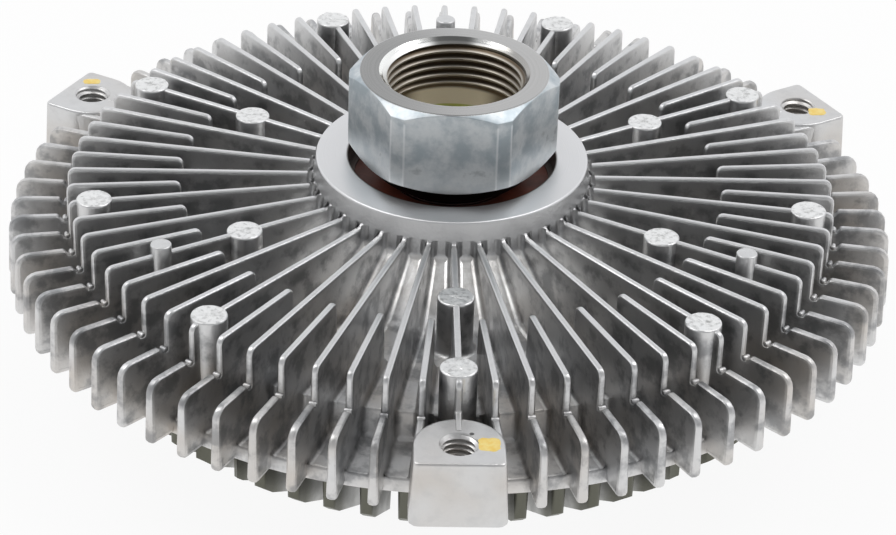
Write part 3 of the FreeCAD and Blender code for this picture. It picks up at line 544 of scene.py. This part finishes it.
def ring_of_copies():
    """Geometry Nodes that turn copies of a mesh about Z, each a little different in height."""
    tree = bpy.data.node_groups.new("ring_of_copies", "GeometryNodeTree")
    for name, kind in (("Geometry", "Geometry"), ("Count", "Int"), ("First Angle", "Float"),
                       ("Spread", "Float"), ("Seed", "Int"), ("Gap Every", "Int"), ("Material", "Material")):
        tree.interface.new_socket(name, in_out="INPUT", socket_type="NodeSocket" + kind)
    tree.interface.new_socket("Geometry", in_out="OUTPUT", socket_type="NodeSocketGeometry")
    nodes = Nodes(tree)

    def given(name):
        """One of the group's own inputs."""
        return nodes.node("NodeGroupInput", output=name)

    number = nodes.node("GeometryNodeInputIndex")
    angle = number * (2 * math.pi / given("Count")) + given("First Angle")
    kept = (number + 1.0).maths("MODULO", given("Gap Every"))
    vary = nodes.node("FunctionNodeRandomValue", {
        2: -1.0 * given("Spread"), 3: given("Spread"), "ID": number, "Seed": given("Seed")},
        output=1, data_type="FLOAT")
    copies = nodes.node("GeometryNodeInstanceOnPoints", {
        "Points": nodes.node("GeometryNodeMeshLine", {"Count": given("Count"), "Offset": (0, 0, 0)}),
        "Selection": kept, "Instance": given("Geometry"),
        "Rotation": nodes.node("ShaderNodeCombineXYZ", {"Z": angle}),
        "Scale": nodes.node("ShaderNodeCombineXYZ", {"X": 1.0, "Y": 1.0, "Z": 1.0 + vary})})
    real = nodes.node("GeometryNodeRealizeInstances", {"Geometry": copies})
    painted = nodes.node("GeometryNodeSetMaterial", {"Geometry": real, "Material": given("Material")})
    nodes.feed(tree.nodes.new("NodeGroupOutput").inputs["Geometry"], painted)
    return tree


def turned_copies(group, obj, count, first_angle, material, spread=0.0, seed=7, gap_every=NO_GAP):
    """The object repeated round Z, as one new mesh object. Each copy number gap_every is left out."""
    modifier = obj.modifiers.new("copies", "NODES")
    modifier.node_group = group
    values = {"Count": count, "First Angle": math.radians(first_angle), "Spread": spread, "Seed": seed,
              "Gap Every": gap_every, "Material": material}
    for socket in group.interface.items_tree:
        if socket.name in values:
            modifier[socket.identifier] = values[socket.name]
    solid = obj.evaluated_get(bpy.context.evaluated_depsgraph_get())
    mesh = bpy.data.meshes.new_from_object(solid)
    obj.modifiers.remove(modifier)
    made = bpy.data.objects.new(obj.name + "_copies", mesh)
    bpy.data.objects.remove(obj)
    return made


# Cast parts

def fin_half(z):
    """Half the drafted fin's thickness at a height."""
    share = (FIN_TOP - z) / (FIN_TOP - RIM_FOOT[1])
    return (FIN_TOP_THICKNESS + (FIN_ROOT_THICKNESS - FIN_TOP_THICKNESS) * share) / 2


def fin(form, edge, hidden, foot):
    """A plate on X with a round edge, buried along its hidden points, with a fillet at its foot."""
    inner = [p - n * fin_half(p.y) for p, n in zip(edge, outward(edge, False))]
    rows = []
    for p, q in zip(edge, inner):
        row = []
        for step in range(FIN_EDGE_STEPS + 1):
            t = math.pi * (step / FIN_EDGE_STEPS - 0.5)
            out = math.cos(t) ** FIN_EDGE_SQUARENESS if 0 < step < FIN_EDGE_STEPS else 0.0
            side = math.copysign(abs(math.sin(t)) ** FIN_EDGE_SQUARENESS, math.sin(t))
            at = q + (p - q) * out
            row.append((at.x, fin_half(p.y) * side, at.y))
        rows.append(row)
    form.rows(rows)
    for side in (-1, 1):
        form.face([(p.x, fin_half(p.y) * side, p.y) for p in inner + hidden])
    closing = [inner[-1]] + hidden + [inner[0]]
    form.rows([[(p.x, fin_half(p.y) * side, p.y) for side in (-1, 1)] for p in closing])

    for side in (-1, 1):
        rows = []
        for p, n in zip(foot, outward(foot, False)):
            row = []
            for step in range(FILLET_STEPS + 1):
                t = math.pi / 2 * step / FILLET_STEPS
                lift, out = FILLET * (1 - math.sin(t)) - SINK, FILLET * (1 - math.cos(t)) - SINK
                at = p + n * lift
                row.append((at.x, (fin_half(at.y) + out) * side, at.y))
            rows.append(row)
        form.rows(rows)


def bead(form, x, z):
    """The bright flash bead across a fin, where its upper tier ends, with rounded ends."""
    half = fin_half(z) + BEAD_STANDOUT
    near_end = [(0.6, 1.0), (0.85, 0.85), (0.97, 0.5), (1.0, 0.0)]
    far_end = [(-share, width) for share, width in reversed(near_end)]
    form.rows([[(x + px * width, half * share, z + pz * width) for px, pz in circle((0, 0), BEAD_RADIUS, 10)]
               for share, width in far_end + near_end], around=True)


def housing_fins(copies, material):
    """Long and short fins in turn, each in two tiers. On the ears a long fin ends in a low ridge."""
    pitch = 360 / FINS
    notch, notch_end = LOW_FIN_TOP - NOTCH_DEPTH, FIN_REACH + NOTCH_REACH
    upper = [(FIN_REACH, FIN_TOP, FIN_CORNER)]
    low_tier = [(FIN_REACH, notch, NOTCH_ROUND), (notch_end - NOTCH_BANK, notch + NOTCH_RISE, NOTCH_ROUND),
                (notch_end, LOW_FIN_TOP, NOTCH_LIP), (LOW_FIN_REACH, LOW_FIN_TOP, LOW_FIN_CORNER),
                (LOW_FIN_FOOT_REACH, RIM_FOOT[1], LOW_FIN_FOOT_CORNER),
                (RIM_FOOT[0] - HIDDEN_INSET, RIM_FOOT[1])]
    ridge = [(FIN_REACH, EAR_RIDGE_TOP, EAR_RIDGE_HOLLOW), (EAR_RIDGE_END, EAR_RIDGE_TOP, EAR_RIDGE_EDGE),
             (EAR_RIDGE_END, EAR_RIDGE_TOP - EAR_RIDGE_SINK)]
    long_start = [(RING_RADIUS, FIN_TOP + FLARE_RISE), (RING_RADIUS + FLARE_REACH, FIN_TOP, FLARE_ROUND)]
    short_start = [(SHORT_FIN_START, STEP_TOP[1] - 0.5), (SHORT_FIN_START, FIN_TOP, SHORT_FIN_CORNER)]
    ring_flank = (HUB_FOOT[0] - 0.4, HUB_FOOT[1] + 3)
    long_foot = [ring_flank, HUB_FOOT, CONE_FOOT, STEP_TOP, STEP_FOOT, RIM_TOP]
    short_foot = [(SHORT_FIN_START - 0.2, STEP_TOP[1]), STEP_TOP, STEP_FOOT, RIM_TOP]
    under_rim, under_step = RIM_TOP[0] - HIDDEN_INSET, STEP_FOOT[0] - HIDDEN_INSET
    hidden = [(under_rim, RIM_BURIED), (under_step, RIM_BURIED), (under_step, BURIED)]
    inside_ring = RING_RADIUS - HIDDEN_INSET

    def ring_of(name, outline, foot, hidden_start, number, first_angle, **turning):
        """One kind of fin, repeated round the axis."""
        form = Form()
        fin(form, rounded(outline, closed=False, steps=4),
            [Vector(p) for p in hidden + [(hidden_start, BURIED)]], [Vector(p) for p in foot])
        bead(form, FIN_REACH + BEAD_OUT, LOW_FIN_TOP - BEAD_DROP)
        return turned_copies(copies, form.build(name), number, first_angle, material, FIN_SPREAD, **turning)

    return [
        ring_of("long_fin", long_start + upper + low_tier, long_foot, inside_ring, FINS // 2,
                EAR_ANGLE + 2 * pitch, seed=3, gap_every=FINS // 2 // EARS),
        ring_of("ear_fin", long_start + upper + ridge, long_foot, inside_ring, EARS, EAR_ANGLE, seed=5),
        ring_of("short_fin", short_start + upper + low_tier, short_foot, SHORT_FIN_START, FINS // 2, pitch,
                seed=4)]


def post(name, radius, top, foot, ring, fillet, rough, seed):
    """A cast post on -Y, its foot filleted, its top left rough where the runner broke off."""
    segments, form = 40, Form()
    edge = rounded([(radius + fillet * 1.5, foot - SINK), (radius, foot, fillet), (radius, top, POST_EDGE),
                    (radius * 0.85, top)], closed=False, steps=4)
    edge += [Vector((radius * share, top)) for share in (0.7, 0.55, 0.4, 0.25, 0.1)]
    turns = [2 * math.pi * k / segments for k in range(segments)]
    rows = [[(r * math.cos(t), r * math.sin(t) - ring, z) for r, z in edge] for t in turns]
    form.rows(rows, along=True)
    form.face([row[-1] for row in rows])
    form.face([row[0] for row in rows])
    obj = form.build(name)
    random.seed(seed)
    for vertex in obj.data.vertices:
        if vertex.co.z > (top - 0.05) * MM:
            vertex.co.z += random.uniform(-rough, rough) * MM
    return obj


def thread(form, radius, pitch, depth, low, high, centre, hand, segments, widen):
    """The helical wall of a tapped hole between two heights. widen(z) is the least radius at a height."""
    bm = bmesh.new()
    # Each point of the profile has its share of the pitch and of the depth
    profile = ((0.0, 0.0), (0.10, 0.0), (0.42, 1.0), (0.50, 1.0), (0.58, 1.0), (0.90, 0.0))
    turns = int((high - low) / pitch) + 4
    grid = []
    for j in range(segments + 1):
        t = 2 * math.pi * j / segments
        column = []
        for i in range(turns):
            for share, cut in profile:
                z = low - 1.5 * pitch + (i + share + hand * j / segments) * pitch
                r = max(radius - depth + depth * cut, widen(z))
                column.append(bm.verts.new(
                    ((centre[0] + r * math.cos(t)) * MM, (centre[1] + r * math.sin(t)) * MM, z * MM)))
        grid.append(column)
    for a, b in zip(grid, grid[1:]):
        for i in range(len(a) - 1):
            bm.faces.new((a[i], a[i + 1], b[i + 1], b[i]))
    for height, out in ((low, -1), (high, 1)):
        bmesh.ops.bisect_plane(bm, geom=bm.verts[:] + bm.edges[:] + bm.faces[:], plane_co=(0, 0, height * MM),
                               plane_no=(0, 0, out), clear_outer=True, dist=1e-7)
    form.take_bmesh(bm, MM)


def ear():
    """An ear on -Y, with soft edges and drafted sides, and the wall of its hole, tapped right through."""
    form = Form()
    centre, half = (0, -EAR_CIRCLE), EAR_WIDTH / 2
    outline = [Vector(p) for p in arc(centre, half, 0, 180, 20)]
    outline += rounded([(-half, -EAR_CIRCLE), (-half, -EAR_REACH, EAR_CORNER), (half, -EAR_REACH, EAR_CORNER),
                        (half, -EAR_CIRCLE)], closed=False)[1:-1]
    outline.reverse()
    normals = outward(outline, True)
    drop = math.tan(EAR_DRAFT)
    soft_edge = [(0.0, 0.5), (0.0, 0.45), (-0.06, 0.2), (-0.2, 0.06), (-0.45, 0.0)]
    drafted_side = [(-EAR_DEPTH + 0.3, -EAR_DEPTH * drop), (-EAR_DEPTH, 0.3 - EAR_DEPTH * drop)]
    rows = [[(p.x - n.x * inset, p.y - n.y * inset, z) for p, n in zip(outline, normals)]
            for z, inset in soft_edge + drafted_side]
    form.rows(rows, around=True)
    bm = bmesh.new()
    for row, z, radius in ((rows[0], 0.0, EAR_MOUTH), (rows[-1], -EAR_DEPTH, EAR_THREAD)):
        edges = []
        hole = [(x, y, z) for x, y in circle(centre, radius, 48)]
        for loop in (row, hole):
            verts = [bm.verts.new(p) for p in loop]
            edges += [bm.edges.new((a, b)) for a, b in zip(verts, verts[1:] + verts[:1])]
        bmesh.ops.triangle_fill(bm, use_beauty=True, use_dissolve=False, edges=edges)
    form.take_bmesh(bm, 1.0)
    solid = form.build("ear", crease=22)

    tapped = Form()
    thread(tapped, EAR_THREAD, EAR_THREAD_PITCH, EAR_THREAD_DEPTH, EAR_THREAD_INSET - EAR_DEPTH,
           -EAR_THREAD_INSET, centre, hand=1, segments=40, widen=lambda z: EAR_MOUTH + z)
    return solid, tapped.build("ear_thread", turn_out=False)


def housing_shell():
    """The turned part of the casting: hub ring, cone, floor, step, rim, chamber, lands and bearing seat."""
    form = Form()
    lands = []
    for k in reversed(range(LANDS)):
        inner, tip = LAND_FIRST + k * LAND_PITCH, CHAMBER_ROOF - LAND_DEPTH
        lands += [(inner + LAND_WIDTH, CHAMBER_ROOF), (inner + LAND_WIDTH, tip, LAND_EDGE),
                  (inner, tip, LAND_EDGE), (inner, CHAMBER_ROOF)]
    outside = [(RING_BORE, RING_TOP, RING_EDGE), (RING_RADIUS, RING_TOP, RING_EDGE), HUB_FOOT + (HUB_HOLLOW,),
               CONE_FOOT + (CONE_HOLLOW,), STEP_TOP + (STEP_EDGE,), STEP_FOOT + (STEP_HOLLOW,),
               RIM_TOP + (RIM_EDGE,), RIM_FOOT + (RIM_FOOT_EDGE,)]
    chamber = [(CHAMBER_RADIUS, RIM_FOOT[1]), (CHAMBER_RADIUS, CHAMBER_ROOF)]
    bearing_seat = [(SHOULDER_RADIUS, CHAMBER_ROOF), (SHOULDER_RADIUS, BEARING_BOTTOM),
                    (BEARING_RADIUS, BEARING_BOTTOM), (BEARING_RADIUS, BEARING_TOP), (RING_BORE, BEARING_TOP)]
    form.lathe(rounded(outside + chamber + lands + bearing_seat))
    return form.build("housing_shell")


def make_housing(copies, material):
    """The whole die-cast housing, as one mesh."""
    parts = housing_fins(copies, material)
    shell = housing_shell()
    outer = post("outer_post", POST_RADIUS, OUTER_POST_TOP, STEP_FOOT[1], OUTER_POST_CIRCLE, POST_FILLET,
                 POST_ROUGHNESS, 11)
    inner = post("inner_post", POST_RADIUS, INNER_POST_TOP, STEP_TOP[1], INNER_POST_CIRCLE, POST_FILLET,
                 POST_ROUGHNESS, 12)
    pin = post("pin", PIN_RADIUS, PIN_TOP, STEP_TOP[1], PIN_CIRCLE, PIN_FILLET, PIN_ROUGHNESS, 13)
    parts.append(turned_copies(copies, outer, OUTER_POSTS, 0, material))
    parts.append(turned_copies(copies, inner, INNER_POSTS, 0, material))
    parts.append(turned_copies(copies, pin, PINS, 180, material))
    for piece in ear():
        parts.append(turned_copies(copies, piece, EARS, 0, material))
    form = Form()
    for part in parts + [shell]:
        form.take(part)
    housing = form.build("housing_casting", turn_out=False)
    housing.data.materials.append(material)
    return housing


# Drive nut

def hexagon():
    """The angle and radius of each column of points round the nut, with its corners turned to a cylinder."""
    columns, flat_steps, corner_steps = [], 10, 4
    corner = math.radians(60) - 2 * HALF_FLAT
    for face in range(6):
        middle = HEX_TURN + math.radians(30 + 60 * face)
        for k in range(flat_steps):
            columns.append((middle - HALF_FLAT + 2 * HALF_FLAT * k / flat_steps,
                            HEX_ACROSS / 2 / math.cos(-HALF_FLAT + 2 * HALF_FLAT * k / flat_steps)))
        for k in range(corner_steps):
            columns.append((middle + HALF_FLAT + corner * k / corner_steps, HEX_CORNER))
    return columns


def make_nut(material):
    """Hexagon, shaft and riveted end in one turned piece, with its thread in the bore."""
    shaft = [(NECK_RADIUS, HEX_BOTTOM), (NECK_RADIUS, NECK_BOTTOM, NECK_EDGE), (SHAFT_SHOULDER, NECK_BOTTOM),
             (SHAFT_SHOULDER, BEARING_TOP), (SHAFT_RADIUS, BEARING_TOP), (SHAFT_RADIUS, BEARING_BOTTOM),
             (ROTOR_SEAT, BEARING_BOTTOM), (ROTOR_SEAT, RIVET_TOP), (RIVET_HEAD, RIVET_BOTTOM),
             (0.0, RIVET_BOTTOM)]
    hole = [(0.0, BORE_BOTTOM), (NUT_THREAD + BORE_GAP, BORE_BOTTOM),
            (NUT_MOUTH + BORE_GAP, HEX_TOP - (NUT_MOUTH - NUT_THREAD))]
    rows = []
    for turn, wide in hexagon():
        profile = rounded([
            (NUT_MOUTH, HEX_TOP), (HEX_FACE, HEX_TOP, HEX_FACE_ROUND),
            (wide, HEX_TOP - (wide - HEX_FACE) * HEX_SLOPE, HEX_TOP_ROUND),
            (wide, HEX_BOTTOM + (wide - HEX_FOOT) * HEX_SLOPE, HEX_FOOT_ROUND),
            (HEX_FOOT - 0.1, HEX_BOTTOM)] + shaft + hole)
        rows.append([(r * math.cos(turn), r * math.sin(turn), z) for r, z in profile])
    block = Form()
    block.rows(rows, around=True, along=True)

    def widen(z):
        """The mouth's cone above, the plain relief below the thread's end, and a run-out between."""
        end = NUT_THREAD - NUT_RUN_OUT * min(max((z - NUT_THREAD_END) / NUT_THREAD_PITCH, 0.0), 1.0)
        return max(NUT_MOUTH - (HEX_TOP - z), end)

    bore = Form()
    thread(bore, NUT_THREAD, NUT_THREAD_PITCH, NUT_THREAD_DEPTH, BORE_BOTTOM, HEX_TOP, (0, 0), hand=-1,
           segments=96, widen=widen)
    form = Form()
    form.take(block.build("nut_block"))
    form.take(bore.build("nut_thread", turn_out=False))
    made = form.build("drive_nut", turn_out=False, crease=20)
    made.data.materials.append(material)
    return made


def make_paint_marks(material):
    """A dab of yellow paint on each ear, beside its hole: a rounded square with a ragged edge."""
    form = Form()
    random.seed(5)
    turns = [2 * math.pi * k / 24 for k in range(24)]
    for angle, offset, length, width in DABS:
        way = math.radians(angle)
        middle = Vector((EAR_CIRCLE * math.cos(way), EAR_CIRCLE * math.sin(way))) + Vector(offset)
        square = [(abs(math.cos(t)) ** 4 + abs(math.sin(t)) ** 4) ** -0.25 for t in turns]
        edge = [reach * random.uniform(0.9, 1.04) for reach in square]
        outline = [(length * out * math.cos(t), width * out * math.sin(t)) for t, out in zip(turns, edge)]
        form.rows([[(middle.x + x * share, middle.y + y * share, height) for x, y in outline]
                   for share, height in DAB_PROFILE], around=True)
    marks = form.build("paint_marks", turn_out=False)
    marks.data.materials.append(material)
    return marks


# Dressing

casting = cast_aluminium("cast_aluminium")
plate = zinc_plate("zinc_plate")
NODE_LOOKS = {
    "front_cover": cover_aluminium("cover_aluminium"),
    # Painted shade: the outer ring's steel is painted dark brown, as it sits in shade under the hub ring
    "bearing_outer_ring": metal("bearing_steel", (0.16, 0.13, 0.12), 0.4),
    "bearing_inner_ring": metal("bearing_race", (0.62, 0.62, 0.62), 0.16),
    "bearing_balls": metal("ball_steel", (0.70, 0.70, 0.70), 0.05, 0.2),
    "bearing_cage": moulded("cage_plastic", (0.70, 0.64, 0.48), 0.45),
    "bearing_seal_upper": moulded("red_seal", (0.22, 0.055, 0.03), 0.38),
    "bearing_seal_lower": moulded("red_seal_lower", (0.22, 0.055, 0.03), 0.38),
    "rotor_disc": metal("turned_aluminium", (0.80, 0.80, 0.80), 0.25, 0.3),
    "partition_plate": metal("steel_sheet", (0.66, 0.66, 0.63), 0.28, 0.5, (1.0, 0.1, 1.0)),
    "partition_rivets": metal("rivet_steel", (0.60, 0.60, 0.58), 0.25),
    "pump_dam": moulded("dam_plastic", (0.06, 0.06, 0.06), 0.45),
    "cover_seal_ring": moulded("seal_rubber", (0.035, 0.035, 0.035), 0.5),
    "cover_screws": metal("screw_zinc", (0.60, 0.63, 0.66), 0.25),
    "fill_plug": metal("plug_steel", (0.58, 0.58, 0.56), 0.25),
    "valve_shaft": metal("valve_steel", (0.60, 0.59, 0.56), 0.2),
    "valve_arm": metal("arm_steel", (0.62, 0.62, 0.58), 0.25),
    "valve_shaft_seal": moulded("shaft_seal_rubber", (0.035, 0.035, 0.035), 0.5),
    "valve_retaining_ring": metal("clip_steel", (0.30, 0.29, 0.28), 0.3),
    "bimetal_coil": metal("bimetal", (0.60, 0.52, 0.40), 0.25, 0.4, (1.0, 1.0, 0.1)),
}
for node, look in NODE_LOOKS.items():
    for material_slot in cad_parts[node].material_slots:
        material_slot.material = look

housing = make_housing(ring_of_copies(), casting)
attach(housing, HOUSING)
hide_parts("housing_body")

nut = make_nut(plate)
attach(nut, SHAFT)
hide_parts("drive_hub")

marks = make_paint_marks(paint_mark("yellow_paint"))
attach(marks, HOUSING)


# Studio

def floor():
    """White paper: to the eye and to mirrors it is nearly all white, with a faint shadow of the part."""
    mesh = bpy.data.meshes.new("floor")
    mesh.from_pydata([(x * FLOOR_REACH, y * FLOOR_REACH, cad_box[0].z)
                      for x, y in ((-1, -1), (1, -1), (1, 1), (-1, 1))], [], [(0, 1, 2, 3)])
    obj = bpy.data.objects.new("floor", mesh)
    bpy.context.collection.objects.link(obj)

    paper = Paint("floor_paper")
    paper.set(Base_Color=(0.90, 0.90, 0.90), Roughness=1.0)
    seen = (paper.node("ShaderNodeLightPath", output="Is Camera Ray")
            + paper.node("ShaderNodeLightPath", output="Is Glossy Ray"))
    surface = paper.node("ShaderNodeMixShader", {
        0: seen * FLOOR_WHITENESS, 1: Wire(paper, paper.shader.outputs[0]),
        2: paper.node("ShaderNodeEmission")})
    paper.feed(paper.tree.nodes["Material Output"].inputs["Surface"], surface)
    paper.material.cycles.emission_sampling = "NONE"
    mesh.materials.append(paper.material)


def softbox(name, place, aim, size, power):
    """A square lamp, sized and placed in metres, turned to what it lights."""
    lamp = bpy.data.lights.new(name, "AREA")
    lamp.shape, lamp.size, lamp.size_y = "RECTANGLE", size[0], size[1]
    lamp.energy = power
    obj = bpy.data.objects.new(name, lamp)
    obj.location = place
    obj.rotation_euler = (Vector(aim) - Vector(place)).to_track_quat("-Z", "Y").to_euler()
    bpy.context.collection.objects.link(obj)


def surround():
    """White behind the object for the camera. For the rest, a pale room: bright at the back, dim overhead."""
    world = bpy.data.worlds.new("studio")
    world.use_nodes = True
    nodes = Nodes(world.node_tree)
    way = nodes.node("ShaderNodeTexCoord", output="Generated")
    depth, height = (nodes.node("ShaderNodeSeparateXYZ", {0: way}, output=axis) for axis in ("Y", "Z"))
    room = nodes.node("ShaderNodeBackground", {
        "Color": (0.97, 0.98, 1.0),
        "Strength": depth.ramp(-0.7, 0.75, *ROOM_FRONT_BACK) * height.ramp(0.55, 0.95, 1.0, ROOM_CEILING)})
    surface = nodes.node("ShaderNodeMixShader", {
        0: nodes.node("ShaderNodeLightPath", output="Is Camera Ray"), 1: room,
        2: nodes.node("ShaderNodeBackground", {"Color": (1.0, 1.0, 1.0)})})
    nodes.feed(world.node_tree.nodes["World Output"].inputs["Surface"], surface)
    bpy.context.scene.world = world


def studio():
    """The room, and a softbox on either side above the part."""
    surround()
    for side, name in ((-1, "left"), (1, "right")):
        place = (side * SOFTBOX_PLACE[0],) + SOFTBOX_PLACE[1:]
        softbox(name, place, (0, 0, 0), SOFTBOX_SIZE, SOFTBOX_POWER)
    bpy.context.scene.view_settings.view_transform = "Standard"


def camera():
    """The photograph's view."""
    cam = bpy.data.objects.new("camera", bpy.data.cameras.new("camera"))
    cam.data.sensor_width, cam.data.lens = SENSOR_WIDTH, FOCAL_LENGTH
    cam.data.clip_start, cam.data.clip_end = 0.05, 20.0
    back = Vector((math.sin(AZIMUTH) * math.cos(ELEVATION), -math.cos(AZIMUTH) * math.cos(ELEVATION),
                   math.sin(ELEVATION)))
    right = Vector((0, 0, 1)).cross(back).normalized()
    up = back.cross(right)
    across = right * math.cos(ROLL) + up * math.sin(ROLL)
    upright = up * math.cos(ROLL) - right * math.sin(ROLL)
    turn = Matrix((across, upright, back)).transposed().to_4x4()
    cam.matrix_world = Matrix.Translation((TARGET + back * DISTANCE) * MM) @ turn
    bpy.context.collection.objects.link(cam)
    bpy.context.scene.camera = cam


floor()
studio()
camera()
